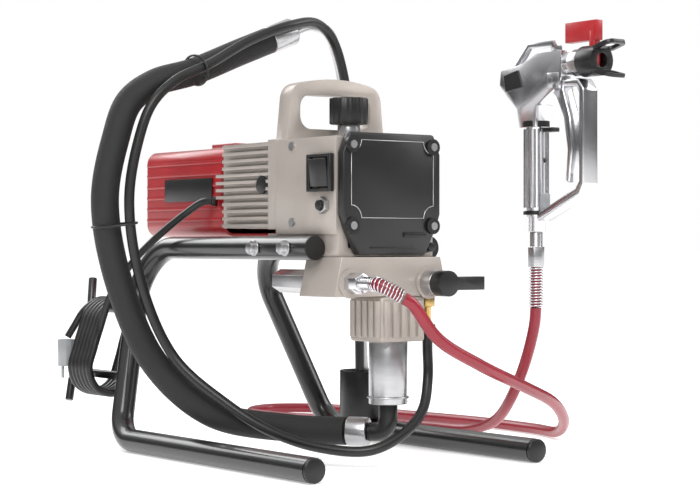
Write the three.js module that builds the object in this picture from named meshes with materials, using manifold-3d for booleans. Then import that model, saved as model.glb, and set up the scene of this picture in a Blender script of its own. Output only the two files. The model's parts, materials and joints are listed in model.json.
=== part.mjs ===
// Airless paint sprayer: a piston pump on a bent-tube skid, with its suction set, paint hose and spray gun.
// Millimetres, +Z up, the sprayer's front towards -Y.
import * as THREE from 'three';
import { mergeVertices } from 'three/addons/utils/BufferGeometryUtils.js';
import Module from 'manifold-3d';

const wasm = await Module();
wasm.setup();

// ---------- driving dimensions ----------
const GAP = 0.3;
const ORIGIN = [13.4, 249.4];            // X and Y of the origin, measured from the skid's front centre
const TUBE_R = 12.7;
const RUNNER_X = 145;
const RAIL_X = 76;
const RAIL_Z = 227;
const LEG_FOOT_Y = 372;
const LEG_TOP_Y = 437;
const RAIL_FRONT_Y = 95;
const FOOT_BEND_R = 40;
const RAIL_BEND_R = 52;
const BOLT_Y = [128, 185];
const BOLT_SHANK_R = 4;

const HOUSING_HALF = 65;
const HOUSING_FRONT = 72;
const HOUSING_BACK = 180;
const HOUSING_BOTTOM = 218;
const HOUSING_TOP = 342;
const NARROW_HALF = 62.5;
const NARROW_TOP = 241.5;
const MOTOR_Z = 295;
const BELL_BACK = 298;
const SHROUD_BACK = 464;
const PUMP = [15, 88];                 // X and Y of the pump's vertical axis
const BLOCK_TOP = 217.7;
const BLOCK_BOTTOM = 177;
const BLOCK_FRONT = 62;
const BLOCK_BACK = 124;
const ROD_R = 7;
const ROD_BORE_R = 8;
const CYLINDER_TOP = 128.7;
const CYLINDER_BOTTOM = 63;
const GEAR_MODULE = 1.5;
const GEAR_TEETH = 40;
const PINION_TEETH = 10;
const GEAR_Y = [104, 114];
const CRANK_THROW = 12;
const MESH_CLEARANCE = 0.5;

const HOSE_R = 6.35;
const SUCTION_R = 15;
const RETURN_R = 5.5;
const LEAD_R = 4.2;
const COIL_TURN_R = 30;
const COIL_STRAIGHT = 25;
const COIL_Y = [431.3, 485];
const UPPER_HOOK = [-99, 413, 155];
const LOWER_HOOK = [-123, 388, 80];
const HOOK_BACK = 521;
const HOOK_R = 5;

const GUN = [230, 92];                 // X and Y of the gun's handle axis
const GUN_BARREL_Z = 430;
const EAR_LEAN = Math.PI / 12;         // each tip guard ear leans this far out from the barrel's axis

// ---------- materials ----------
const FINISH = {
  black_paint: [0x101113, 0.3, 0.4],
  black_plastic: [0x1a1a1b, 0.55, 0],
  champagne_cast: [0xb3a9a0, 0.45, 0.6],
  red_plastic: [0xa31420, 0.4, 0],
  red_hose: [0x8e1226, 0.45, 0],
  black_hose: [0x171717, 0.6, 0],
  steel: [0xb9babb, 0.3, 0.9],
  chrome: [0xd6d8da, 0.15, 1],
  brass: [0xb08a3e, 0.3, 0.9],
  grey_plug: [0x9b9d9f, 0.4, 0],
  copper: [0x9a5a33, 0.45, 0.6],
};

const sprayer = new THREE.Group();
sprayer.position.set(-ORIGIN[0], -ORIGIN[1], 0);

function addNode(name, finish, geometry) {
  const [color, roughness, metalness] = FINISH[finish];
  const mesh = new THREE.Mesh(geometry, new THREE.MeshStandardMaterial({ color, roughness, metalness }));
  mesh.name = name;
  sprayer.add(mesh);
  return mesh;
}

// ---------- solid helpers ----------
function toManifold(geometry) {
  const bare = geometry.clone();
  bare.deleteAttribute('normal');
  bare.deleteAttribute('uv');
  const merged = mergeVertices(bare, 1e-4);
  const vertProperties = new Float32Array(merged.attributes.position.array);
  const triVerts = new Uint32Array(merged.index.array);
  return new wasm.Manifold(new wasm.Mesh({ numProp: 3, vertProperties, triVerts }));
}

function fromManifold(solid) {
  const mesh = solid.getMesh();
  const geometry = new THREE.BufferGeometry();
  geometry.setAttribute('position', new THREE.BufferAttribute(new Float32Array(mesh.vertProperties), 3));
  geometry.setIndex(new THREE.BufferAttribute(new Uint32Array(mesh.triVerts), 1));
  geometry.computeVertexNormals();
  return geometry;
}

const join = (...geometries) => fromManifold(geometries.map(toManifold).reduce((a, b) => a.add(b)));

function cut(base, ...tools) {
  return fromManifold(tools.map(toManifold).reduce((a, b) => a.subtract(b), toManifold(base)));
}

function box(x, y, z) {
  const geometry = new THREE.BoxGeometry(x[1] - x[0], y[1] - y[0], z[1] - z[0]);
  return geometry.translate((x[0] + x[1]) / 2, (y[0] + y[1]) / 2, (z[0] + z[1]) / 2);
}

// A round or hexagonal bar along one axis, from one end to the other; its centre is the other two coordinates.
function bar(axis, ends, centre, radius, sides = 24, endRadius = radius) {
  const geometry = new THREE.CylinderGeometry(endRadius, radius, ends[1] - ends[0], sides);
  const middle = (ends[0] + ends[1]) / 2;
  if (axis === 'x') return geometry.rotateZ(-Math.PI / 2).translate(middle, centre[0], centre[1]);
  if (axis === 'y') return geometry.translate(centre[0], middle, centre[1]);
  return geometry.rotateX(Math.PI / 2).translate(centre[0], centre[1], middle);
}

// An outline in X and Z, given thickness along Y.
function plateXZ(shape, y, segments = 6) {
  const options = { depth: y[1] - y[0], bevelEnabled: false, curveSegments: segments };
  return new THREE.ExtrudeGeometry(shape, options).rotateX(Math.PI / 2).translate(0, y[1], 0);
}

// An outline in Y and Z, given thickness along X.
function plateYZ(points, x) {
  const shape = new THREE.Shape(points.map(([y, z]) => new THREE.Vector2(y, z)));
  const geometry = new THREE.ExtrudeGeometry(shape, { depth: x[1] - x[0], bevelEnabled: false });
  return geometry.applyMatrix4(new THREE.Matrix4().set(0, 0, 1, x[0], 1, 0, 0, 0, 0, 1, 0, 0, 0, 0, 0, 1));
}

function roundedRect(x, z, radius) {
  const shape = new THREE.Shape();
  shape.moveTo(x[0] + radius, z[0]);
  shape.lineTo(x[1] - radius, z[0]);
  shape.absarc(x[1] - radius, z[0] + radius, radius, -Math.PI / 2, 0);
  shape.lineTo(x[1], z[1] - radius);
  shape.absarc(x[1] - radius, z[1] - radius, radius, 0, Math.PI / 2);
  shape.lineTo(x[0] + radius, z[1]);
  shape.absarc(x[0] + radius, z[1] - radius, radius, Math.PI / 2, Math.PI);
  shape.lineTo(x[0], z[0] + radius);
  shape.absarc(x[0] + radius, z[0] + radius, radius, Math.PI, Math.PI * 1.5);
  return shape;
}

// A path through exact stations, so that a bend gets more of them than a straight.
class StationPath extends THREE.Curve {
  constructor(stations) {
    super();
    this.stations = stations;
  }

  getPoint(t, target = new THREE.Vector3()) {
    const place = Math.min(Math.max(t, 0), 1) * (this.stations.length - 1);
    const index = Math.min(Math.floor(place + 1e-9), this.stations.length - 2);
    return target.lerpVectors(this.stations[index], this.stations[index + 1], place - index);
  }

  getUtoTmapping(u) {
    return u;
  }

  getTangent(t, target = new THREE.Vector3()) {
    const last = this.stations.length - 1;
    const index = Math.round(t * last);
    const before = this.stations[Math.max(index - 1, 0)];
    const here = this.stations[index];
    const after = this.stations[Math.min(index + 1, last)];
    const inward = here.clone().sub(before).normalize();
    const outward = after.clone().sub(here).normalize();
    return target.copy(inward).add(outward).normalize();
  }
}

const vectors = (points) => points.map((p) => new THREE.Vector3(...p));

function circleShape(radius, sides) {
  const corner = (i) => (2 * Math.PI * i) / sides;
  const points = Array.from({ length: sides }, (_, i) =>
    new THREE.Vector2(radius * Math.cos(corner(i)), radius * Math.sin(corner(i))));
  return new THREE.Shape(points);
}

function sweep(stations, radius, sides) {
  const options = { steps: stations.length - 1, extrudePath: new StationPath(stations), bevelEnabled: false };
  return new THREE.ExtrudeGeometry(circleShape(radius, sides), options);
}

// A tube of straights joined by round bends.
function bentTube(points, bends, radius, sides, perBend = 6) {
  const corners = vectors(points);
  const stations = [corners[0]];
  for (let i = 1; i < corners.length - 1; i += 1) {
    const toBack = corners[i - 1].clone().sub(corners[i]).normalize();
    const toFront = corners[i + 1].clone().sub(corners[i]).normalize();
    const half = toBack.angleTo(toFront) / 2;
    const reach = bends[i - 1] / Math.tan(half);
    const middle = toBack.clone().add(toFront).normalize();
    const centre = corners[i].clone().addScaledVector(middle, bends[i - 1] / Math.sin(half));
    const start = corners[i].clone().addScaledVector(toBack, reach).sub(centre);
    const normal = new THREE.Vector3().crossVectors(toFront, toBack).normalize();
    for (let k = 0; k <= perBend; k += 1) {
      const turn = ((Math.PI - 2 * half) * k) / perBend;
      stations.push(start.clone().applyAxisAngle(normal, turn).add(centre));
    }
  }
  stations.push(corners[corners.length - 1]);
  return sweep(stations, radius, sides);
}

function smoothTube(points, radius, sides, steps) {
  const curve = new THREE.CatmullRomCurve3(vectors(points), false, 'centripetal');
  return sweep(curve.getSpacedPoints(steps), radius, sides);
}

// ---------- skid ----------
function buildSkid() {
  for (const [side, sign] of [['left', -1], ['right', 1]]) {
    const path = [
      [sign * RUNNER_X, 2, TUBE_R],
      [sign * RUNNER_X, LEG_FOOT_Y, TUBE_R],
      [sign * RAIL_X, LEG_TOP_Y, RAIL_Z],
      [sign * RAIL_X, RAIL_FRONT_Y, RAIL_Z],
    ];
    const tube = bentTube(path, [FOOT_BEND_R, RAIL_BEND_R], TUBE_R, 16, 5);
    const reach = sign < 0 ? [-95, -50] : [50, 95];
    const holes = BOLT_Y.map((y) => bar('x', reach, [y, RAIL_Z], BOLT_SHANK_R + GAP, 12));
    addNode(`${side}_skid_tube`, 'black_paint', cut(tube, ...holes));
    addNode(`${side}_runner_cap`, 'black_plastic', bar('y', [-2.5, 2 - GAP], [sign * RUNNER_X, TUBE_R], TUBE_R, 20));
    BOLT_Y.forEach((y, i) => {
      const face = sign * (RAIL_X + TUBE_R + GAP);
      const ends = (a, b) => [Math.min(a, b), Math.max(a, b)];
      const flange = bar('x', ends(face, face + sign * 2), [y, RAIL_Z], 8.5, 16);
      const head = bar('x', ends(face, face + sign * 8), [y, RAIL_Z], 7, 6);
      const shank = bar('x', ends(face, sign * 56), [y, RAIL_Z], BOLT_SHANK_R, 12);
      addNode(`${side}_skid_bolt_${i + 1}`, 'steel', join(flange, head, shank));
    });
  }
}

// ---------- gear housing, motor and cover ----------
function handleArch() {
  const outer = new THREE.Shape();
  outer.moveTo(-HOUSING_HALF, HOUSING_TOP - 2);
  outer.lineTo(-60, 388);
  outer.quadraticCurveTo(-58, 400, -46, 403);
  outer.quadraticCurveTo(0, 414, 46, 403);
  outer.quadraticCurveTo(58, 400, 60, 388);
  outer.lineTo(HOUSING_HALF, HOUSING_TOP - 2);
  outer.holes.push(roundedRect([-48, 46], [354, 391], 14));
  return plateXZ(outer, [159, 185 - 5 - GAP]);
}

function buildHousing() {
  const upper = box([-HOUSING_HALF, HOUSING_HALF], [HOUSING_FRONT + GAP, HOUSING_BACK], [NARROW_TOP, HOUSING_TOP]);
  const lower = box([-NARROW_HALF, NARROW_HALF], [HOUSING_FRONT + GAP, 198], [HOUSING_BOTTOM, NARROW_TOP + 1]);
  const rockerPocket = box([-70, -56], [80, 112], [288, 321]);
  const oilerHole = bar('y', [70, 80], [55, 228], 5.6, 20);
  const cavity = box([-50, 57], [HOUSING_FRONT - 2, 150], [227, 332]);
  const shaftBore = bar('y', [140, 190], [0, MOTOR_Z], 7, 16);
  const rodBore = bar('z', [210, 235], PUMP, ROD_BORE_R, 16);
  const boltHoles = [[-70, -55], [55, 70]].flatMap((x) =>
    BOLT_Y.map((y) => bar('x', x, [y, RAIL_Z], BOLT_SHANK_R + GAP, 12)));
  addNode('gear_housing', 'champagne_cast', cut(join(upper, lower, handleArch()), cavity, shaftBore, rodBore, oilerHole, rockerPocket, ...boltHoles));

  const fins = Array.from({ length: 12 }, (_, i) => {
    const z = 249.5 + 7.9 * i;
    const reachBack = i > 3 && i < 8 ? BELL_BACK : BELL_BACK - 13;
    return box([-HOUSING_HALF, HOUSING_HALF], [HOUSING_BACK + 14, reachBack], [z, z + 3.4]);
  });
  const flange = box([-HOUSING_HALF, HOUSING_HALF], [HOUSING_BACK + GAP, HOUSING_BACK + 15], [247, 343]);
  const core = box([-57, 57], [HOUSING_BACK + 14, BELL_BACK - 4], [248.5, 341.5]);
  const bore = bar('y', [HOUSING_BACK - 5, BELL_BACK + 5], [0, MOTOR_Z], 44, 32);
  const brushHole = bar('x', [-70, -61], [209, MOTOR_Z], 10.5, 20);
  addNode('motor_bell', 'champagne_cast', cut(join(flange, core, ...fins), bore, brushHole));
  addNode('brush_cap', 'black_plastic', bar('x', [-64.5, -61.5], [209, MOTOR_Z], 9.8, 20));

  const shell = plateXZ(roundedRect([-55, 55], [239.9, 340], 14), [BELL_BACK + GAP, SHROUD_BACK], 4);
  const step = box([-40, 40], [BELL_BACK + GAP, 345], [335, 345]);
  const hollow = plateXZ(roundedRect([-51.5, 51.5], [243.4, 336.5], 11), [BELL_BACK - 2, SHROUD_BACK - 4], 4);
  addNode('motor_shroud', 'red_plastic', cut(join(shell, step), hollow));

  const cover = new THREE.Shape();
  [[-44, 220], [44, 220], [58, 246], [64, 262], [64, 325], [55, 346], [-55, 346], [-64, 325], [-64, 262], [-58, 246]]
    .forEach(([x, z], i) => (i ? cover.lineTo(x, z) : cover.moveTo(x, z)));
  addNode('front_cover', 'black_plastic', plateXZ(cover, [61, HOUSING_FRONT]));
}

function toothedWheel(teeth, y, centre) {
  const pitch = (GEAR_MODULE * teeth) / 2;
  const shape = new THREE.Shape();
  for (let i = 0; i < teeth; i += 1) {
    [[-0.29, -1.25], [-0.13, 1], [0.13, 1], [0.29, -1.25]].forEach(([part, lift], k) => {
      const angle = (2 * Math.PI * (i + part)) / teeth;
      const radius = pitch + lift * GEAR_MODULE;
      const [x, z] = [radius * Math.cos(angle), radius * Math.sin(angle)];
      if (i + k) shape.lineTo(x, z);
      else shape.moveTo(x, z);
    });
  }
  const wheel = plateXZ(shape, y);
  return { wheel, place: (turn) => wheel.rotateY(-turn).translate(centre[0], 0, centre[1]) };
}

function buildDrive() {
  const distance = (GEAR_MODULE * (GEAR_TEETH + PINION_TEETH)) / 2 + MESH_CLEARANCE;
  const drop = Math.sqrt(distance ** 2 - PUMP[0] ** 2);
  const gearCentre = [PUMP[0], MOTOR_Z - drop];
  const lineAngle = Math.atan2(drop, -PUMP[0]);
  const gear = toothedWheel(GEAR_TEETH, GEAR_Y, gearCentre).place(lineAngle);
  const shaft = bar('y', [GEAR_Y[1] - 1, 140], gearCentre, 6, 16);
  const pin = bar('y', [96, GEAR_Y[0] + 1], [gearCentre[0] + CRANK_THROW, gearCentre[1]], 4, 12);
  addNode('crank_gear', 'steel', join(gear, shaft, pin));

  const halfTooth = Math.PI / PINION_TEETH;
  const pinion = toothedWheel(PINION_TEETH, [102, 116], [0, MOTOR_Z]).place(lineAngle + Math.PI + halfTooth);
  const motorShaft = bar('y', [115, 330], [0, MOTOR_Z], 5, 16);
  const core = bar('y', [200, 285], [0, MOTOR_Z], 26, 24);
  const fan = bar('y', [308, 320], [0, MOTOR_Z], 36, 24);
  addNode('rotor', 'steel', join(pinion, motorShaft, core, fan));
  const ring = cut(bar('y', [205, 280], [0, MOTOR_Z], 43.5, 32), bar('y', [200, 290], [0, MOTOR_Z], 27, 24));
  addNode('stator', 'copper', ring);

  const z = gearCentre[1];
  const plate = box([PUMP[0] - 24, PUMP[0] + 24], [82, 94], [z - 11, z + 11]);
  const slot = box([PUMP[0] - 18, PUMP[0] + 18], [80, 96], [z - 4.5, z + 4.5]);
  const rod = bar('z', [90, z - 10], PUMP, ROD_R, 16);
  const head = bar('z', [84, 98], PUMP, 13.6, 20);
  addNode('piston_rod', 'chrome', join(cut(plate, slot), rod, head));
}

// ---------- controls ----------
function buildControls() {
  addNode('knob_collar', 'steel', bar('z', [HOUSING_TOP + GAP, 358.7], [0, 137], 12, 20));
  const lobes = new THREE.Shape();
  for (let i = 0; i < 48; i += 1) {
    const radius = 20.2 + 0.9 * Math.cos((i * Math.PI) / 2);
    const angle = (2 * Math.PI * i) / 48;
    if (i) lobes.lineTo(radius * Math.cos(angle), radius * Math.sin(angle));
    else lobes.moveTo(radius, 0);
  }
  const knob = new THREE.ExtrudeGeometry(lobes, { depth: 28, bevelEnabled: false });
  addNode('pressure_knob', 'black_plastic', knob.translate(0, 137, 359));

  const bezel = box([-71, -HOUSING_HALF - GAP], [75, 117], [285, 324]);
  addNode('switch_bezel', 'black_plastic', cut(bezel, box([-72, -60], [80, 112], [288, 321])));
  const rocker = plateXZ(new THREE.Shape([[-67, 290.5], [-70, 290], [-71.2, 304.5], [-73.5, 319], [-67, 318.5]]
    .map(([x, z]) => new THREE.Vector2(x, z))), [81, 111]);
  addNode('rocker_switch', 'black_plastic', rocker);
  const nut = cut(bar('x', [-71, -HOUSING_HALF - GAP], [92, 271], 9, 6), bar('x', [-72, -60], [92, 271], 5.6, 16));
  addNode('reset_nut', 'steel', nut);
  addNode('reset_button', 'black_plastic', bar('x', [-74, -67.5], [92, 271], 5.2, 16));
  addNode('oiler_button', 'black_plastic', bar('y', [64, 74], [55, 228], 5, 20));
}

// ---------- fluid section ----------
function buildPump() {
  const outline = new THREE.Shape([[-74.5, 177], [74.5, 177], [65, 217.7], [-65, 217.7]]
    .map(([x, z]) => new THREE.Vector2(x, z)));
  const block = cut(plateXZ(outline, [BLOCK_FRONT, BLOCK_BACK]), bar('z', [170, 225], PUMP, ROD_BORE_R, 16));
  addNode('manifold_block', 'champagne_cast', block);
  const body = box([PUMP[0] - 29, PUMP[0] + 29], [62, 117], [129, BLOCK_BOTTOM - GAP]);
  addNode('pump_block', 'champagne_cast', cut(body, bar('z', [120, 180], PUMP, ROD_BORE_R, 16)));
  const barrel = bar('z', [CYLINDER_BOTTOM, CYLINDER_TOP], PUMP, 20.5, 28);
  const bore = bar('z', [68, CYLINDER_TOP + 2], PUMP, 14, 24);
  const inlet = bar('z', [60, 70], PUMP, 6, 12);
  addNode('pump_cylinder', 'steel', cut(barrel, bore, inlet));
  addNode('filter_tube', 'steel', bar('y', [BLOCK_BACK + GAP, 222], [-30, 191], 13, 6));

  addNode('outlet_nipple', 'chrome', join(bar('y', [40, BLOCK_FRONT - GAP], [-55, 191], 11, 6), bar('y', [24, 41], [-55, 191], 7, 16)));
  addNode('return_barb', 'brass', join(bar('z', [165, BLOCK_BOTTOM - GAP], [57, 74], 8, 6), bar('z', [150, 166], [57, 74], 4, 12)));
  const clamp = cut(bar('z', [138, 146], [57, 74], 8.5, 16), bar('z', [130, 150], [57, 74], RETURN_R + GAP, 16));
  addNode('hose_clamp', 'black_plastic', clamp);

  addNode('valve_body', 'steel', bar('y', [44, BLOCK_FRONT - GAP], [48, 190], 13.5, 24));
  const hub = bar('y', [27, 44 - GAP], [48, 190], 13.5, 24);
  const lever = box([50, 98], [29, 40], [183, 197]);
  addNode('valve_lever', 'black_plastic', join(hub, lever));
}

// ---------- suction set ----------
const SUCTION_ROUTE = [[-12.4, 125.4, 33], [-22, 138.5, 33], [-54, 170, 35], [-110, 236, 49], [-154, 281, 102], [-190, 296, 190],
  [-206, 298, 278], [-195, 294, 345], [-181, 290, 384], [-150, 289, 406], [-101, 289, 421], [-40, 289, 446], [0, 289, 462]];
const RETURN_ROUTE = [[57, 74, 148], [57, 74, 120], [56, 72, 90], [40, 62, 56], [8, 58, 32], [-25, 68, 18], [-60, 108, 20],
  [-85, 160, 34], [-112, 206, 62], [-146, 255, 110], [-176, 273, 190], [-190, 274, 278], [-180, 270, 345], [-166, 266, 382],
  [-138, 265, 408], [-95, 265, 428], [-40, 265, 458], [13, 263, 478], [55, 272, 484], [84, 280, 468], [101, 282, 430],
  [112, 283, 360], [120, 284, 260], [127, 286, 160], [130, 288, 78]];

function buildSuction() {
  const elbow = [[PUMP[0], PUMP[1], CYLINDER_BOTTOM - GAP], [PUMP[0], PUMP[1], 33], [2.5, 105, 33]];
  addNode('suction_elbow', 'black_plastic', bentTube(elbow, [14], 10, 14, 5));
  addNode('lower_ferrule', 'steel', sweep(vectors([[2.1, 105.6, 33], [-10.9, 123.3, 33]]), 15.5, 16));
  addNode('suction_hose', 'black_hose', smoothTube(SUCTION_ROUTE, SUCTION_R, 12, 22));
  addNode('upper_ferrule', 'steel', sweep(vectors([[0.5, 289, 462.2], [32, 289, 474.5]]), 15.5, 20));
  const siphon = [[32.4, 289, 474.7], [60, 291, 484], [88, 295, 478], [106, 299, 450], [116, 300, 410], [130, 300, 260], [145, 300, 66.3]];
  addNode('siphon_tube', 'steel', smoothTube(siphon, 6.5, 12, 18));
  addNode('strainer', 'steel', bar('z', [32, 64.5], [145, 300], 14, 16));
  addNode('return_hose', 'black_hose', smoothTube(RETURN_ROUTE, RETURN_R, 8, 44));
  const cupTop = 82;
  const cup = cut(bar('z', [25.7, cupTop], [145, 300], 28.5, 28), bar('z', [28.5, cupTop + 3], [145, 300], 26, 28));
  addNode('drip_cup', 'black_plastic', cup);
}

// ---------- mains lead ----------
const LEAD_ROUTE = [[-63, 308, 279], [-69, 316, 279], [-78, 340, 266], [-98, 368, 240], [-118, 394, 208], [-131, 414, 176], [-134, 425, 148]];
const TAIL_ROUTE = [[-133, 490, 146], [-138, 492, 134], [-144, 496, 122]];

function buildLead() {
  const out = new THREE.Vector3(-0.6, 0.8, 0);
  const start = new THREE.Vector3(...LEAD_ROUTE[0]);
  addNode('power_cord', 'black_hose', smoothTube(LEAD_ROUTE, LEAD_R, 8, 12));
  const back = start.clone().addScaledVector(out, -4 * GAP);
  addNode('cord_gland', 'black_plastic', sweep([back.clone().addScaledVector(out, -3.5), back], 5.2, 12));
  const rodOf = (hook, tip) => bentTube([[hook[0], hook[1] + 19.5, hook[2]], [hook[0], HOOK_BACK, hook[2]], tip], [9], HOOK_R, 10, 4);
  addNode('upper_cord_hook', 'black_paint', rodOf(UPPER_HOOK, [-92, HOOK_BACK + 8, 190]));
  addNode('lower_cord_hook', 'black_paint', rodOf(LOWER_HOOK, [-133, HOOK_BACK - 8, 46]));

  const stadium = (radius) => {
    const shape = new THREE.Shape();
    shape.absarc(0, COIL_STRAIGHT, radius, 0, Math.PI);
    shape.absarc(0, -COIL_STRAIGHT, radius, Math.PI, 2 * Math.PI);
    return shape;
  };
  const ring = stadium(COIL_TURN_R + LEAD_R);
  ring.holes.push(stadium(COIL_TURN_R - LEAD_R));
  const tilt = Math.atan2(UPPER_HOOK[0] - LOWER_HOOK[0], UPPER_HOOK[2] - LOWER_HOOK[2]);
  const coil = plateXZ(ring, COIL_Y, 10).rotateY(tilt).translate(-112.8, 0, 111.9);
  addNode('cord_coil', 'black_hose', coil);
  addNode('cord_tail', 'black_hose', smoothTube(TAIL_ROUTE, LEAD_R, 8, 3));
  const plug = join(bar('z', [88, 119], [-145, 497], 10.5, 12), bar('z', [74, 89], [-140, 497], 2, 8), bar('z', [74, 89], [-150, 497], 2, 8));
  addNode('mains_plug', 'grey_plug', plug);
}

// ---------- paint hose ----------
const PAINT_ROUTE = [[-36.4, -3, 176.8], [-30, -6.2, 172.6], [2, -9, 136], [64, -4, 106], [150, 22, 78], [225, 58, 55], [285, 105, 28],
  [325, 160, 9], [345, 220, 6.8], [350, 320, 6.8], [336, 440, 6.8], [322, 540, 6.8], [298, 612, 6.8], [245, 645, 6.8], [196, 615, 6.8],
  [186, 550, 6.8], [206, 470, 6.8], [240, 390, 6.8], [262, 320, 6.8], [268, 250, 9], [255, 190, 24], [236, 140, 56], [229, 108, 100], [230, 95, 140], [230, 92.6, 159.5]];

function buildPaintHose() {
  addNode('paint_hose', 'red_hose', smoothTube(PAINT_ROUTE, HOSE_R, 8, 56));
  const pumpEnd = [[-55, 22.8, 191], [-55, 12, 190], [-47, 3, 184], [-38.3, -1.8, 178.2]];
  addNode('pump_hose_guard', 'chrome', smoothTube(pumpEnd, 8, 12, 6));
  addNode('gun_hose_guard', 'chrome', sweep(vectors([[230, 92.6, 160.4], [230, 92, 205]]), 8, 12));
}

// ---------- spray gun ----------
function buildGun() {
  const [x, y] = GUN;
  addNode('gun_swivel', 'steel', join(bar('z', [205.3, 228], GUN, 9.5, 6), bar('z', [227, 245], GUN, 7, 16)));
  const handle = bar('z', [262, 372], GUN, 13, 20);
  const foot = bar('z', [245.3, 263], GUN, 10.5, 16);
  const outline = [[106, 362], [80, 362], [77, 386], [60, 396], [42, 406], [38, 416], [38, 444], [84, 444],
    [100, 434], [137, 428], [139, 412], [126, 398], [110, 384]];
  const hook = plateYZ([[139, 420], [130, 424], [97, 451], [63, 451], [61, 445], [56, 446], [57, 457], [100, 457]],
    [x - 6, x + 6]);
  const frame = plateYZ(outline, [x - 13, x + 13]);
  const nose = bar('y', [30, 40], [x, GUN_BARREL_Z], 13, 16);
  const cheek = box([x - 14, x + 14], [42, 60], [403, 420]);
  const triggerSlot = box([x - 9, x + 9], [20, 66], [380, 413]);
  addNode('gun_body', 'chrome', cut(join(handle, foot, frame, nose, cheek, hook), triggerSlot));
  const guardBar = [[78.6, 256], [66, 262], [12, 286], [5, 296], [5, 400], [14, 412], [38.6, 412], [38.6, 404], [17, 403], [13, 396], [13, 300], [18, 293], [78.6, 266]];
  addNode('trigger_guard', 'chrome', plateYZ(guardBar, [x - 11, x + 11]));
  const blade = [[40, 410], [52, 410], [54, 398], [40, 370], [34, 335], [37, 300], [31, 298], [26, 335], [30, 372], [40, 400]];
  addNode('trigger', 'chrome', plateYZ(blade, [x - 8, x + 8]));
  addNode('trigger_lock', 'black_plastic', box([x - 6, x + 6], [60, 76.3], [356, 361]));
  addNode('gun_head', 'steel', bar('y', [14, 29.7], [x, GUN_BARREL_Z], 15, 8));
  const ring = bar('y', [-12, 13.7], [x, GUN_BARREL_Z], 17, 24);
  const ears = [1, -1].map((side) => {
    const loop = roundedRect([-15, 15], [0, 30], 9);
    loop.holes.push(roundedRect([-9.5, 9.5], [8, 25], 5));
    const lean = Math.PI / 2 - side * EAR_LEAN;
    return plateXZ(loop, [-2, 2], 4).rotateX(lean).translate(x, -8, GUN_BARREL_Z + side * 11);
  });
  const bore = bar('y', [-20, 20], [x, GUN_BARREL_Z], 8, 16);
  const tipBore = bar('z', [GUN_BARREL_Z - 14, GUN_BARREL_Z + 30], [x, -1], 6.5, 16);
  addNode('tip_guard', 'black_plastic', cut(join(ring, ...ears), bore, tipBore));
  const stem = bar('z', [GUN_BARREL_Z - 12, 462], [x, -1], 6, 16);
  const grip = box([x - 5, x + 5], [-8, 40], [452, 474]);
  addNode('spray_tip', 'red_plastic', join(stem, grip));
}

buildSkid();
buildHousing();
buildDrive();
buildControls();
buildPump();
buildSuction();
buildLead();
buildPaintHose();
buildGun();

export default sprayer;
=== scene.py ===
import json
import math

import bmesh
import bpy
from mathutils import Matrix, Vector


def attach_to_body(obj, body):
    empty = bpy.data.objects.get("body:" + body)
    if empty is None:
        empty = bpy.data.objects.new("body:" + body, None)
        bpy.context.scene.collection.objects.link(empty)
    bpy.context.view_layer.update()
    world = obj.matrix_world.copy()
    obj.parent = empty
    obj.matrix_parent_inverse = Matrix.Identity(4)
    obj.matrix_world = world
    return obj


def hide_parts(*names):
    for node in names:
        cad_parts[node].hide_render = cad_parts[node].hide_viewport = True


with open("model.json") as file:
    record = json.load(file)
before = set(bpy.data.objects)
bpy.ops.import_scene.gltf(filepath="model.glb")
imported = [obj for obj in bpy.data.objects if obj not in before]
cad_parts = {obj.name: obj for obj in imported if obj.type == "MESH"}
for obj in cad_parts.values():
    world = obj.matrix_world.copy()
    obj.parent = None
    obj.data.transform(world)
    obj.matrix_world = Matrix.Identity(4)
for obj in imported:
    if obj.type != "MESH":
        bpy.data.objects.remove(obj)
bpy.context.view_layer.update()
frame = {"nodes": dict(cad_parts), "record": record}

ORIGIN_MM = (13.4, 249.4)
BODY_OF = {n: b for b, nodes in frame["record"]["behaviour"]["bodies"].items() for n in nodes}
SLOT_OF = {s["node"]: s["material_slot"] for s in frame["record"]["subparts"]}


def at(x, y, z):
    """A point measured in millimetres from the skid's front centre, in the row frame."""
    return Vector(((x - ORIGIN_MM[0]) / 1000, (y - ORIGIN_MM[1]) / 1000, z / 1000))


# ---------- camera, floor and light ----------
CAMERA_PLACE = (-1189, -1443, 230)
CAMERA_YAW = -37
CAMERA_LENS = 95.1
CAMERA_SHIFT = -0.007
FLOOR_SIZE = 90
FLOOR_DROP = 0.0005
FLOOR_GLOW = 0.42
LIGHT_TARGET = (0, 0, 0.2)
LIGHTS = (
    {"name": "key", "place": (-1.6, -1.8, 1.9), "size": 1.4, "power": 46},
    {"name": "fill", "place": (1.9, -1.2, 1.6), "size": 1.2, "power": 20},
    {"name": "back", "place": (-0.4, 2.2, 2.0), "size": 1.6, "power": 34},
)
SKY_LEVELS = ((0.0, 0.55), (0.47, 0.35), (0.52, 0.04), (0.62, 0.2), (0.78, 0.95))
MIX_FACTOR, MIX_A, MIX_B, MIX_RESULT = 0, 6, 7, 2


def make_camera():
    data = bpy.data.cameras.new("camera")
    data.sensor_width = 36
    data.lens = CAMERA_LENS
    data.shift_y = CAMERA_SHIFT
    camera = bpy.data.objects.new("camera", data)
    camera.location = at(*CAMERA_PLACE)
    camera.rotation_euler = (math.radians(90), 0, math.radians(CAMERA_YAW))
    bpy.context.scene.collection.objects.link(camera)
    bpy.context.scene.camera = camera


def add_light(name, place, size, power):
    data = bpy.data.lights.new(name, "AREA")
    data.size = size
    data.energy = power
    light = bpy.data.objects.new(name, data)
    light.location = place
    light.rotation_euler = (Vector(LIGHT_TARGET) - Vector(place)).to_track_quat("-Z", "Y").to_euler()
    bpy.context.scene.collection.objects.link(light)


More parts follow.
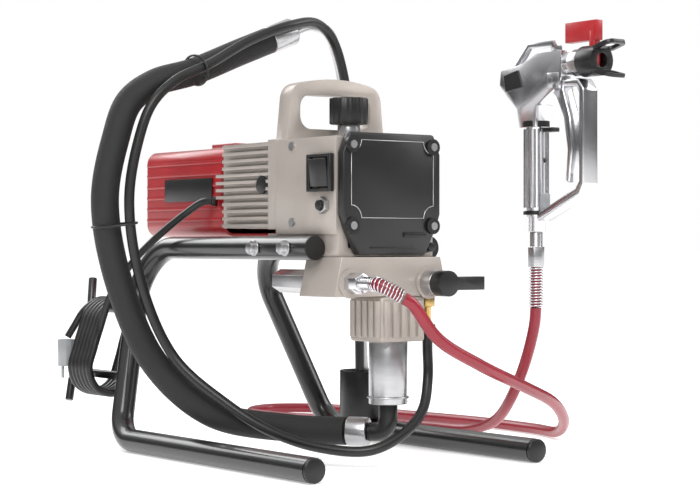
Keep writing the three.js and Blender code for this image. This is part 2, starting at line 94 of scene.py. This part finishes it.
def light_sky(tree):
    """White to the camera, with a darker band at the horizon for the metal to reflect."""
    background = tree.nodes["Background"]
    place = tree.nodes.new("ShaderNodeTexCoord")
    height = tree.nodes.new("ShaderNodeSeparateXYZ")
    tree.links.new(place.outputs["Generated"], height.inputs["Vector"])
    spread = tree.nodes.new("ShaderNodeMapRange")
    spread.inputs["From Min"].default_value = -1
    tree.links.new(height.outputs["Z"], spread.inputs["Value"])
    ramp = tree.nodes.new("ShaderNodeValToRGB")
    while len(ramp.color_ramp.elements) < len(SKY_LEVELS):
        ramp.color_ramp.elements.new(0.5)
    for element, (position, level) in zip(ramp.color_ramp.elements, SKY_LEVELS):
        element.position = position
        element.color = (level, level, level, 1)
    tree.links.new(spread.outputs["Result"], ramp.inputs["Fac"])
    ray = tree.nodes.new("ShaderNodeLightPath")
    mix = tree.nodes.new("ShaderNodeMix")
    mix.data_type = "RGBA"
    mix.inputs[MIX_B].default_value = (1, 1, 1, 1)
    tree.links.new(ray.outputs["Is Camera Ray"], mix.inputs[MIX_FACTOR])
    tree.links.new(ramp.outputs["Color"], mix.inputs[MIX_A])
    tree.links.new(mix.outputs[MIX_RESULT], background.inputs["Color"])


def make_studio():
    bpy.ops.mesh.primitive_plane_add(size=FLOOR_SIZE, location=(0, 0, -FLOOR_DROP))
    floor = bpy.context.object
    floor.name = "floor"
    pale = bpy.data.materials.new("pale_floor")
    pale.use_nodes = True
    shader = pale.node_tree.nodes["Principled BSDF"]
    shader.inputs["Base Color"].default_value = (0.9, 0.9, 0.9, 1)
    shader.inputs["Roughness"].default_value = 0.7
    shader.inputs["Emission Color"].default_value = (1, 1, 1, 1)
    shader.inputs["Emission Strength"].default_value = FLOOR_GLOW
    floor.data.materials.append(pale)
    world = bpy.data.worlds.new("studio")
    world.use_nodes = True
    light_sky(world.node_tree)
    bpy.context.scene.world = world
    bpy.context.scene.view_settings.view_transform = "Standard"
    for light in LIGHTS:
        add_light(**light)


# ---------- materials ----------
COAT_ROUGHNESS = 0.08
BROAD_SCALE = 22
BROAD_DETAIL = 5
FINE_DETAIL = 3
TINT_RAMP = (0.3, 0.7)
ROUGHNESS_SPREAD = (0.8, 1.2)


def finish(name, color, roughness, grain, metallic=0.0, coat=0.0, tint=0.12, stretch=(1, 1, 1)):
    """A procedural surface: uneven colour and roughness, and a bump of its own grain."""
    grain_scale, bump_strength, bump_distance = grain
    material = bpy.data.materials.new(name)
    material.use_nodes = True
    tree = material.node_tree
    shader = tree.nodes["Principled BSDF"]
    shader.inputs["Metallic"].default_value = metallic
    shader.inputs["Coat Weight"].default_value = coat
    shader.inputs["Coat Roughness"].default_value = COAT_ROUGHNESS
    place = tree.nodes.new("ShaderNodeTexCoord")
    mapping = tree.nodes.new("ShaderNodeMapping")
    mapping.inputs["Scale"].default_value = stretch
    tree.links.new(place.outputs["Object"], mapping.inputs["Vector"])
    broad = tree.nodes.new("ShaderNodeTexNoise")
    broad.inputs["Scale"].default_value = BROAD_SCALE
    broad.inputs["Detail"].default_value = BROAD_DETAIL
    tree.links.new(mapping.outputs["Vector"], broad.inputs["Vector"])
    ramp = tree.nodes.new("ShaderNodeValToRGB")
    for element, share, position in zip(ramp.color_ramp.elements, (1 - tint, 1 + tint), TINT_RAMP):
        element.color = (*[min(c * share, 1) for c in color], 1)
        element.position = position
    tree.links.new(broad.outputs["Fac"], ramp.inputs["Fac"])
    tree.links.new(ramp.outputs["Color"], shader.inputs["Base Color"])
    rough = tree.nodes.new("ShaderNodeMapRange")
    rough.inputs["To Min"].default_value = roughness * ROUGHNESS_SPREAD[0]
    rough.inputs["To Max"].default_value = min(roughness * ROUGHNESS_SPREAD[1], 1)
    tree.links.new(broad.outputs["Fac"], rough.inputs["Value"])
    tree.links.new(rough.outputs["Result"], shader.inputs["Roughness"])
    fine = tree.nodes.new("ShaderNodeTexNoise")
    fine.inputs["Scale"].default_value = grain_scale
    fine.inputs["Detail"].default_value = FINE_DETAIL
    tree.links.new(mapping.outputs["Vector"], fine.inputs["Vector"])
    bump = tree.nodes.new("ShaderNodeBump")
    bump.inputs["Strength"].default_value = bump_strength
    bump.inputs["Distance"].default_value = bump_distance
    tree.links.new(fine.outputs["Fac"], bump.inputs["Height"])
    tree.links.new(bump.outputs["Normal"], shader.inputs["Normal"])
    return material


MATERIALS = {
    "black_paint": finish("gloss_black_paint", (0.008, 0.008, 0.009), 0.3, (900, 0.15, 0.0002), coat=0.4),
    "black_plastic": finish("satin_black_plastic", (0.007, 0.007, 0.0075), 0.36, (1800, 0.25, 0.0002)),
    "champagne_cast": finish("champagne_cast", (0.42, 0.375, 0.34), 0.42, (1300, 0.35, 0.0003),
                             metallic=0.35, coat=0.15, tint=0.06),
    "red_plastic": finish("red_plastic", (0.36, 0.009, 0.014), 0.36, (1600, 0.2, 0.0002),
                          coat=0.2, tint=0.08),
    "red_hose": finish("red_hose", (0.26, 0.006, 0.02), 0.36, (300, 0.12, 0.0003), coat=0.25, tint=0.1),
    "black_rubber": finish("black_rubber", (0.007, 0.007, 0.007), 0.36, (1200, 0.3, 0.0003)),
    "steel": finish("brushed_steel", (0.5, 0.5, 0.51), 0.3, (500, 0.2, 0.0002),
                    metallic=1, tint=0.08, stretch=(1, 1, 6)),
    "chrome": finish("chrome", (0.66, 0.66, 0.68), 0.2, (200, 0.05, 0.0002), metallic=1, tint=0.04),
    "brass": finish("brass", (0.58, 0.4, 0.15), 0.28, (600, 0.15, 0.0002), metallic=1),
    "grey_plug": finish("grey_plug", (0.3, 0.31, 0.32), 0.3, (900, 0.1, 0.0002), coat=0.3),
    "copper_winding": finish("copper_winding", (0.4, 0.14, 0.05), 0.35, (700, 0.4, 0.0004),
                             metallic=0.8, tint=0.2, stretch=(1, 8, 1)),
}
WOVEN_SLEEVE = finish("woven_sleeve", (0.007, 0.007, 0.007), 0.6, (1500, 0.8, 0.0008), tint=0.25)


# ---------- shapes ----------
BEVEL_ANGLE = 28
BEVEL_SEGMENTS = 2
SOFT_SHADE_ANGLE = 40
BEND_STEPS = 14
WIRE_STEPS_PER_TURN = 14
DISC_TURN = {"x": Matrix.Rotation(math.pi / 2, 4, "Y"), "y": Matrix.Rotation(math.pi / 2, 4, "X"),
             "z": Matrix.Identity(4)}


def attach(piece, body, slot, material=None, nodes=()):
    piece.data.materials.clear()
    piece.data.materials.append(material or MATERIALS[slot])
    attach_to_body(piece, body)
    if nodes:
        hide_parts(*nodes)
    return piece


def link(name, data):
    piece = bpy.data.objects.new(name, data)
    bpy.context.scene.collection.objects.link(piece)
    return piece


def shade(mesh, angle=32):
    mesh.polygons.foreach_set("use_smooth", [True] * len(mesh.polygons))
    mesh.set_sharp_from_angle(angle=math.radians(angle))


def soften(node, width_mm):
    """A copy of a CAD node with its edges rounded, which stands for it."""
    source = frame["nodes"][node]
    piece = link(node + "_finished", source.data.copy())
    work = bmesh.new()
    work.from_mesh(piece.data)
    bmesh.ops.remove_doubles(work, verts=work.verts, dist=1e-6)
    bmesh.ops.dissolve_limit(work, angle_limit=math.radians(2), verts=work.verts, edges=work.edges)
    work.to_mesh(piece.data)
    work.free()
    bevel = piece.modifiers.new("edges", "BEVEL")
    bevel.width = width_mm / 1000
    bevel.segments = BEVEL_SEGMENTS
    bevel.limit_method = "ANGLE"
    bevel.angle_limit = math.radians(BEVEL_ANGLE)
    bevel.use_clamp_overlap = True
    bpy.context.view_layer.objects.active = piece
    bpy.ops.object.select_all(action="DESELECT")
    piece.select_set(True)
    bpy.ops.object.modifier_apply(modifier="edges")
    shade(piece.data, SOFT_SHADE_ANGLE)
    return attach(piece, BODY_OF[node], SLOT_OF[node], nodes=(node,))


def smooth_route(points, spacing=0.004):
    """The centripetal curve through chosen points, sampled evenly enough for a hose."""
    ends = [points[0] * 2 - points[1], *points, points[-1] * 2 - points[-2]]
    route = []
    for p0, p1, p2, p3 in zip(ends, ends[1:], ends[2:], ends[3:]):
        t1 = math.sqrt((p1 - p0).length)
        t2 = t1 + math.sqrt((p2 - p1).length)
        t3 = t2 + math.sqrt((p3 - p2).length)
        count = max(2, round((p2 - p1).length / spacing))
        for i in range(count):
            t = t1 + (t2 - t1) * i / count
            a1 = p0.lerp(p1, t / t1)
            a2 = p1.lerp(p2, (t - t1) / (t2 - t1))
            a3 = p2.lerp(p3, (t - t2) / (t3 - t2))
            b1 = a1.lerp(a2, t / t2)
            b2 = a2.lerp(a3, (t - t1) / (t3 - t1))
            route.append(b1.lerp(b2, (t - t1) / (t2 - t1)))
    return [*route, points[-1]]


def tube(name, route, radius_mm, cyclic=False, sides=8):
    curve = bpy.data.curves.new(name, "CURVE")
    curve.dimensions = "3D"
    curve.bevel_depth = radius_mm / 1000
    curve.bevel_resolution = sides // 2
    curve.use_fill_caps = True
    spline = curve.splines.new("POLY")
    spline.points.add(len(route) - 1)
    for point, place in zip(spline.points, route):
        point.co = (*place, 1)
    spline.use_cyclic_u = cyclic
    spline.use_smooth = True
    return link(name, curve)



def bent_route(corners, bends_mm):
    """Straights joined by round bends."""
    route = [corners[0]]
    for back, corner, ahead, bend in zip(corners, corners[1:], corners[2:], bends_mm):
        to_back = (back - corner).normalized()
        to_ahead = (ahead - corner).normalized()
        half = to_back.angle(to_ahead) / 2
        centre = corner + (to_back + to_ahead).normalized() * (bend / 1000 / math.sin(half))
        start = corner + to_back * (bend / 1000 / math.tan(half)) - centre
        normal = to_ahead.cross(to_back).normalized()
        for i in range(BEND_STEPS + 1):
            turn = Matrix.Rotation((math.pi - 2 * half) * i / BEND_STEPS, 3, normal)
            route.append(centre + turn @ start)
    return [*route, corners[-1]]


def helix(route, radius_mm, pitch_mm):
    """A wire wound round a route."""
    total = sum((b - a).length for a, b in zip(route, route[1:]))
    turns = total / (pitch_mm / 1000)
    wire = []
    walked = 0.0
    for a, b in zip(route, route[1:]):
        along = (b - a).normalized()
        side = along.orthogonal() if not wire else (side - along * side.dot(along))
        side.normalize()
        steps = max(1, round((b - a).length / total * turns * WIRE_STEPS_PER_TURN))
        for i in range(steps):
            part = (b - a).length * i / steps
            angle = 2 * math.pi * turns * (walked + part) / total
            wire.append(a + along * part + Matrix.Rotation(angle, 3, along) @ side * (radius_mm / 1000))
        walked += (b - a).length
    return wire


def solid(name, make):
    """A mesh that a short bmesh function makes in millimetres from the skid's front centre."""
    work = bmesh.new()
    make(work)
    for vertex in work.verts:
        vertex.co = at(*vertex.co)
    bmesh.ops.recalc_face_normals(work, faces=work.faces)
    mesh = bpy.data.meshes.new(name)
    work.to_mesh(mesh)
    work.free()
    shade(mesh)
    return link(name, mesh)


def add_box(work, x, y, z, bevel=0.6):
    centre = Vector(((x[0] + x[1]) / 2, (y[0] + y[1]) / 2, (z[0] + z[1]) / 2))
    size = Matrix.Diagonal((x[1] - x[0], y[1] - y[0], z[1] - z[0], 1))
    made = bmesh.ops.create_cube(work, size=1, matrix=Matrix.Translation(centre) @ size)
    edges = {e for v in made["verts"] for e in v.link_edges}
    bmesh.ops.bevel(work, geom=list(edges), offset=bevel, segments=2, affect="EDGES", profile=0.5)


def add_prism(work, outline, x):
    """An outline in Y and Z, given thickness along X."""
    near = [work.verts.new((x[0], y, z)) for y, z in outline]
    far = [work.verts.new((x[1], y, z)) for y, z in outline]
    work.faces.new(near)
    work.faces.new(far)
    for i in range(len(outline)):
        j = (i + 1) % len(outline)
        work.faces.new((near[i], near[j], far[j], far[i]))


def add_disc(work, axis, ends, centre, radius, sides=28):
    """A disc or rod along one axis, centred at a point in the other two."""
    middle = (ends[0] + ends[1]) / 2
    place = {"x": (middle, *centre), "y": (centre[0], middle, centre[1]), "z": (*centre, middle)}[axis]
    bmesh.ops.create_cone(work, cap_ends=True, segments=sides, radius1=radius, radius2=radius,
                          depth=ends[1] - ends[0], matrix=Matrix.Translation(place) @ DISC_TURN[axis])


# ---------- cords first ----------
LEAD_R, HOSE_R, SUCTION_R, RETURN_R, SIPHON_R = 4.2, 6.35, 15, 5.5, 6.5
LEAD_ROUTE = [(-63, 308, 279), (-69, 316, 279), (-78, 340, 266), (-98, 368, 240), (-118, 394, 208),
              (-131, 414, 176), (-134, 425, 148)]
TAIL_ROUTE = [(-133, 490, 146), (-138, 492, 134), (-144, 496, 122)]
PAINT_ROUTE = [(-36.4, -3, 176.8), (-30, -6.2, 172.6), (2, -9, 136), (64, -4, 106), (150, 22, 78),
               (225, 58, 55), (285, 105, 28), (325, 160, 9), (345, 220, 6.8), (350, 320, 6.8),
               (336, 440, 6.8), (322, 540, 6.8), (298, 612, 6.8), (245, 645, 6.8), (196, 615, 6.8),
               (186, 550, 6.8), (206, 470, 6.8), (240, 390, 6.8), (262, 320, 6.8), (268, 250, 9),
               (255, 190, 24), (236, 140, 56), (229, 108, 100), (230, 95, 140), (230, 92.6, 159.5)]
COIL_CENTRE = (-112.8, 111.9)
COIL_TURN_R = 30
COIL_STRAIGHT = 25
COIL_TURNS = 6
COIL_STEPS_PER_TURN = 48
COIL_START_Y = 431
COIL_PITCH = 8.5
COIL_TILT = math.atan2(24, 75)


def oval_point(travel):
    """A point on the lead's oval turn, from its upper left corner, down and round; travel is 0 to 1."""
    side = 2 * COIL_STRAIGHT
    arc = math.pi * COIL_TURN_R
    place = travel * 2 * (side + arc)
    if place < side:
        return -COIL_TURN_R, COIL_STRAIGHT - place
    place -= side
    if place < arc:
        turn = math.pi + place / COIL_TURN_R
        return COIL_TURN_R * math.cos(turn), -COIL_STRAIGHT + COIL_TURN_R * math.sin(turn)
    place -= arc
    if place < side:
        return COIL_TURN_R, -COIL_STRAIGHT + place
    turn = (place - side) / COIL_TURN_R
    return COIL_TURN_R * math.cos(turn), COIL_STRAIGHT + COIL_TURN_R * math.sin(turn)


def coil_route():
    route = []
    for i in range(COIL_TURNS * COIL_STEPS_PER_TURN + 1):
        across, up = oval_point((i / COIL_STEPS_PER_TURN) % 1)
        x = COIL_CENTRE[0] + across * math.cos(COIL_TILT) + up * math.sin(COIL_TILT)
        z = COIL_CENTRE[1] - across * math.sin(COIL_TILT) + up * math.cos(COIL_TILT)
        route.append(at(x, COIL_START_Y + COIL_PITCH * i / COIL_STEPS_PER_TURN, z))
    return route


def make_cords():
    paint = smooth_route([at(*p) for p in PAINT_ROUTE])
    hose = attach(tube("paint_hose_line", paint, HOSE_R, sides=12), "root", "red_hose", nodes=("paint_hose",))
    to_coil = [at(*p) for p in LEAD_ROUTE[:-1]]
    from_coil = [at(*p) for p in TAIL_ROUTE[1:]]
    lead = smooth_route(to_coil + coil_route()[2:-2:4] + from_coil)
    line = attach(tube("mains_lead", lead, LEAD_R, sides=10), "root", "black_rubber",
                  nodes=("power_cord", "cord_coil", "cord_tail"))


# ---------- held hoses and their fittings ----------
SUCTION_ROUTE = [(-12.4, 125.4, 33), (-22, 138.5, 33), (-54, 170, 35), (-110, 236, 49), (-154, 281, 102),
                 (-190, 296, 190), (-206, 298, 278), (-195, 294, 345), (-181, 290, 384), (-150, 289, 406),
                 (-101, 289, 421), (-40, 289, 446), (0, 289, 462)]
RETURN_ROUTE = [(57, 74, 148), (57, 74, 120), (56, 72, 90), (40, 62, 56), (8, 58, 32), (-25, 68, 18),
                (-60, 108, 20), (-85, 160, 34), (-112, 206, 62), (-146, 255, 110), (-176, 273, 190),
                (-190, 274, 278), (-180, 270, 345), (-166, 266, 382), (-138, 265, 408), (-95, 265, 428),
                (-40, 265, 458), (13, 263, 478), (55, 272, 484), (84, 280, 468), (101, 282, 430),
                (112, 283, 360), (120, 284, 260), (127, 286, 160), (130, 288, 78)]
SIPHON_ROUTE = [(32.4, 289, 474.7), (60, 291, 484), (88, 295, 478), (106, 299, 450), (116, 300, 410),
                (130, 300, 260), (145, 300, 66.3)]
TIE_PLACES = [(-101, 289, 421), (-203, 298, 250)]
TIE_R = 1.3
TIE_END_GAP = 1.2
TIE_SIDE_GAP = 1.6
TIE_STEPS = 48
PUMP_GUARD_ROUTE = [(-55, 22.8, 191), (-55, 12, 190), (-47, 3, 184), (-38.3, -1.8, 178.2)]
GUN_GUARD_ROUTE = [(230, 92.6, 160.4), (230, 92, 205)]
GUARD_LINER_R = 6.3
SPRING_R = 7.2
SPRING_PITCH = 3.2
SPRING_WIRE_R = 0.8
FINE_SPACING = 0.002


def make_held_hoses():
    suction = smooth_route([at(*p) for p in SUCTION_ROUTE])
    sleeve = tube("suction_hose_sleeve", suction, SUCTION_R, sides=20)
    attach(sleeve, "root", "black_rubber", WOVEN_SLEEVE, ("suction_hose",))
    back = smooth_route([at(*p) for p in RETURN_ROUTE])
    attach(tube("return_hose_line", back, RETURN_R, sides=12), "root", "black_rubber", nodes=("return_hose",))
    siphon = smooth_route([at(*p) for p in SIPHON_ROUTE])
    attach(tube("siphon_tube_line", siphon, SIPHON_R, sides=16), "root", "steel", nodes=("siphon_tube",))
    for number, place in enumerate(TIE_PLACES):
        make_tie(f"hose_tie_{number + 1}", suction, back, at(*place))


def make_tie(name, suction, back, place):
    """A strap pulled round the thick hose and the thin one beside it."""
    index = min(range(len(suction)), key=lambda i: (suction[i] - place).length)
    thick = suction[index]
    thin = min(back, key=lambda p: (p - thick).length)
    along = (suction[index + 1] - suction[index - 1]).normalized()
    across = thin - thick
    across = (across - along * across.dot(along)).normalized()
    beside = along.cross(across)
    reach = (thin - thick).length * 1000
    low, high = -SUCTION_R - TIE_END_GAP, reach + RETURN_R + TIE_END_GAP
    middle, half = (low + high) / 2, (high - low) / 2
    width = SUCTION_R + TIE_SIDE_GAP
    loop = []
    for i in range(TIE_STEPS):
        angle = 2 * math.pi * i / TIE_STEPS
        along_pair = middle + half * math.cos(angle)
        loop.append(thick + (across * along_pair + beside * width * math.sin(angle)) / 1000)
    attach(tube(name, loop, TIE_R, cyclic=True, sides=6), "root", "black_plastic")


def make_guards():
    for node, points in (("pump_hose_guard", PUMP_GUARD_ROUTE), ("gun_hose_guard", GUN_GUARD_ROUTE)):
        route = smooth_route([at(*p) for p in points], FINE_SPACING)
        attach(tube(node + "_liner", route, GUARD_LINER_R, sides=12), "root", "red_hose")
        spring = tube(node + "_spring", helix(route, SPRING_R, SPRING_PITCH), SPRING_WIRE_R, sides=6)
        attach(spring, "root", "chrome", nodes=(node,))


# ---------- skid ----------
SKID_R = 12.7
RUNNER_X, RUNNER_FRONT_Y, RUNNER_REAR_Y = 145, 2, 372
RAIL_X, RAIL_FRONT_Y, RAIL_REAR_Y, RAIL_Z = 76, 95, 437, 227
SKID_BENDS = (40, 52)
RAIL_CAP_ENDS = (93.5, 96)


def make_skid():
    for side, sign in (("left", -1), ("right", 1)):
        runner_x, rail_x = sign * RUNNER_X, sign * RAIL_X
        corners = [at(runner_x, RUNNER_FRONT_Y, SKID_R), at(runner_x, RUNNER_REAR_Y, SKID_R),
                   at(rail_x, RAIL_REAR_Y, RAIL_Z), at(rail_x, RAIL_FRONT_Y, RAIL_Z)]
        bar = tube(f"{side}_skid_bar", bent_route(corners, SKID_BENDS), SKID_R, sides=24)
        attach(bar, "root", "black_paint", nodes=(f"{side}_skid_tube",))
        soften(f"{side}_runner_cap", 1.2)
        rail_cap = solid(f"{side}_rail_cap",
                         lambda work: add_disc(work, "y", RAIL_CAP_ENDS, (rail_x, RAIL_Z), SKID_R))
        attach(rail_cap, "root", "black_plastic")


# ---------- trim on the housing, cover and motor ----------
LABEL_Y = 60.8
LABEL_X, LABEL_Z = (-54, 54), (258, 338)
LABEL_NOTCH = 13
NOTCH_STEPS = 8
COVER_SCREWS = [(x, z) for x in (-53, 53) for z in (250, 333)]
HOUSING_SCREWS_Y = 150
FLUTE_ENDS, FLUTE_R, FLUTE_COUNT = (134, 172), 4.2, 5
CLIP_CENTRE, CLIP_Z, CLIP_R, CLIP_STEPS = (15, 88), 70, 21.4, 40
VENT_LOW, VENT_PITCH, VENT_HEIGHT, VENT_COUNT = 256, 9.5, 4, 8
RIB_LOW, RIB_PITCH, RIB_HEIGHT, RIB_COUNT = 257, 13, 4, 6


def cover_outline():
    """The label's thin frame, with its four corners cut in as quarter rounds."""
    (left, right), (low, high) = LABEL_X, LABEL_Z
    corners = [(right, high, 180, 270), (left, high, 270, 360), (left, low, 0, 90), (right, low, 90, 180)]
    points = []
    for x, z, start, end in corners:
        for i in range(NOTCH_STEPS + 1):
            angle = math.radians(end + (start - end) * i / NOTCH_STEPS)
            points.append(at(x + LABEL_NOTCH * math.cos(angle), LABEL_Y, z + LABEL_NOTCH * math.sin(angle)))
    return points


def make_cover_trim():
    attach(tube("cover_label_frame", cover_outline(), 0.5, cyclic=True, sides=4), "root", "steel")

    def bosses(work):
        for place in COVER_SCREWS:
            add_disc(work, "y", (58.6, 62), place, 8.5)
        add_box(work, (14, 44), (59.6, 62), (238, 243))
        add_box(work, (-30, 30), (60.2, 62), (226, 228))
    attach(solid("cover_bosses", bosses), "root", "black_plastic")


def make_pump_trim():
    def ribs(work):
        for i in range(FLUTE_COUNT):
            add_disc(work, "z", FLUTE_ENDS, (-7 + 11 * i, 62.5), FLUTE_R, 20)
            add_disc(work, "z", FLUTE_ENDS, (-13.5, 68 + 10.5 * i), FLUTE_R, 20)
        for x, radius in ((-55, 15), (48, 17)):
            add_disc(work, "y", (59.5, 62.5), (x, 190.5), radius)
    attach(solid("pump_casting_ribs", ribs), "root", "champagne_cast")
    clip = []
    for i in range(CLIP_STEPS):
        angle = 2 * math.pi * i / CLIP_STEPS
        x = CLIP_CENTRE[0] + CLIP_R * math.cos(angle)
        clip.append(at(x, CLIP_CENTRE[1] + CLIP_R * math.sin(angle), CLIP_Z))
    attach(tube("cylinder_clip", clip, 0.9, cyclic=True, sides=6), "root", "steel")


def make_vents():
    def vents(work):
        for i in range(VENT_COUNT):
            low = VENT_LOW + VENT_PITCH * i
            add_box(work, (-40, 40), (463.4, 464.9), (low, low + VENT_HEIGHT), 0.5)
    attach(solid("shroud_vents", vents), "root", "black_plastic")


def make_casing_screws():
    def screws(work):
        for place in COVER_SCREWS:
            add_disc(work, "y", (57.2, 59), place, 4.2, 20)
        for z in (254, 334):
            for x in (-65.8, 65.8):
                add_disc(work, "x", (x - 0.9, x + 0.9), (HOUSING_SCREWS_Y, z), 4.6, 20)
    attach(solid("casing_screws", screws), "root", "steel")


def make_shroud_trim():
    def ribs(work):
        for side in (-1, 1):
            for i in range(RIB_COUNT):
                low = RIB_LOW + RIB_PITCH * i
                add_box(work, sorted((side * 54.6, side * 56.4)), (300, 462), (low, low + RIB_HEIGHT), 0.5)
    attach(solid("shroud_ribs", ribs), "root", "red_plastic")
    plate = solid("shroud_label_plate", lambda work: add_box(work, (-57.6, -56), (318, 420), (280, 306)))
    attach(plate, "root", "black_plastic")


def make_switch_mark():
    mark = solid("switch_on_mark", lambda work: add_box(work, (-71.6, -70.6), (90, 102), (311, 312.4), 0.2))
    attach(mark, "rocker", "steel")


# ---------- gun details ----------
GUN_AXIS = (230, 92)
HANDLE_R = 12.8
HANDLE_FLUTES = 18
REAR_PLATE = [(100, 408), (128, 404), (131, 422), (108, 427)]
STRAP_ROUTE = [(230, 106, 362), (230, 108, 350), (230, 96, 338), (230, 80, 324), (230, 76, 326)]
TRIGGER_PIVOT = (47, 405)


def make_gun_details():
    def flutes(work):
        for i in range(HANDLE_FLUTES):
            angle = 2 * math.pi * i / HANDLE_FLUTES
            place = (GUN_AXIS[0] + HANDLE_R * math.cos(angle), GUN_AXIS[1] + HANDLE_R * math.sin(angle))
            add_disc(work, "z", (272, 360), place, 1.5, 10)
    attach(solid("gun_handle_flutes", flutes), "gun", "chrome")

    def rings(work):
        add_disc(work, "z", (362.5, 369), GUN_AXIS, 15.5, 32)
        add_disc(work, "z", (264, 268), GUN_AXIS, 14.5, 32)
    attach(solid("gun_handle_rings", rings), "gun", "black_plastic")
    plate = solid("gun_rear_plate", lambda work: add_prism(work, REAR_PLATE, (215.9, 217.2)))
    attach(plate, "gun", "black_plastic")
    strap = smooth_route([at(*p) for p in STRAP_ROUTE], FINE_SPACING)
    attach(tube("gun_lock_strap", strap, 2.4), "gun", "black_plastic")
    sight = solid("gun_filter_window", lambda work: add_box(work, (223, 237), (76.2, 79.5), (268, 288), 1.2))
    attach(sight, "gun", "grey_plug")
    pin = solid("trigger_pin", lambda work: add_disc(work, "x", (215.4, 244.6), TRIGGER_PIVOT, 3.2, 20))
    attach(pin, "gun", "steel")


# ---------- CAD nodes: edge radius in millimetres ----------
SOFTENED = {
    "gear_housing": 1.6, "motor_bell": 0.6, "motor_shroud": 2.2, "front_cover": 2.2, "manifold_block": 2.0,
    "pump_block": 3.0, "pump_cylinder": 0.8, "valve_lever": 2.4, "valve_body": 0.8, "pressure_knob": 1.0,
    "knob_collar": 0.8, "switch_bezel": 1.0, "rocker_switch": 0.8, "reset_nut": 0.5, "reset_button": 0.6,
    "oiler_button": 0.8, "outlet_nipple": 0.7, "return_barb": 0.6, "lower_ferrule": 0.8, "upper_ferrule": 0.8,
    "drip_cup": 0.7, "strainer": 0.8, "mains_plug": 2.2, "filter_tube": 0.8, "brush_cap": 0.6,
    "gun_body": 3.2, "trigger_guard": 2.0, "trigger": 2.2, "trigger_lock": 1.0, "gun_head": 1.2,
    "tip_guard": 1.6, "spray_tip": 2.0, "gun_swivel": 0.7, "suction_elbow": 0.5, "upper_cord_hook": 0.6,
    "lower_cord_hook": 0.6, "left_skid_bolt_1": 0.6, "left_skid_bolt_2": 0.6, "right_skid_bolt_1": 0.6,
    "right_skid_bolt_2": 0.6,
}


def finish_nodes():
    for node, width in SOFTENED.items():
        soften(node, width)
    for node, piece in frame["nodes"].items():
        piece.data.materials.clear()
        piece.data.materials.append(MATERIALS[SLOT_OF[node]])
        shade(piece.data)


make_camera()
make_studio()
make_cords()
make_held_hoses()
make_guards()
make_skid()
make_cover_trim()
make_pump_trim()
make_vents()
make_casing_screws()
make_shroud_trim()
make_switch_mark()
make_gun_details()
finish_nodes()
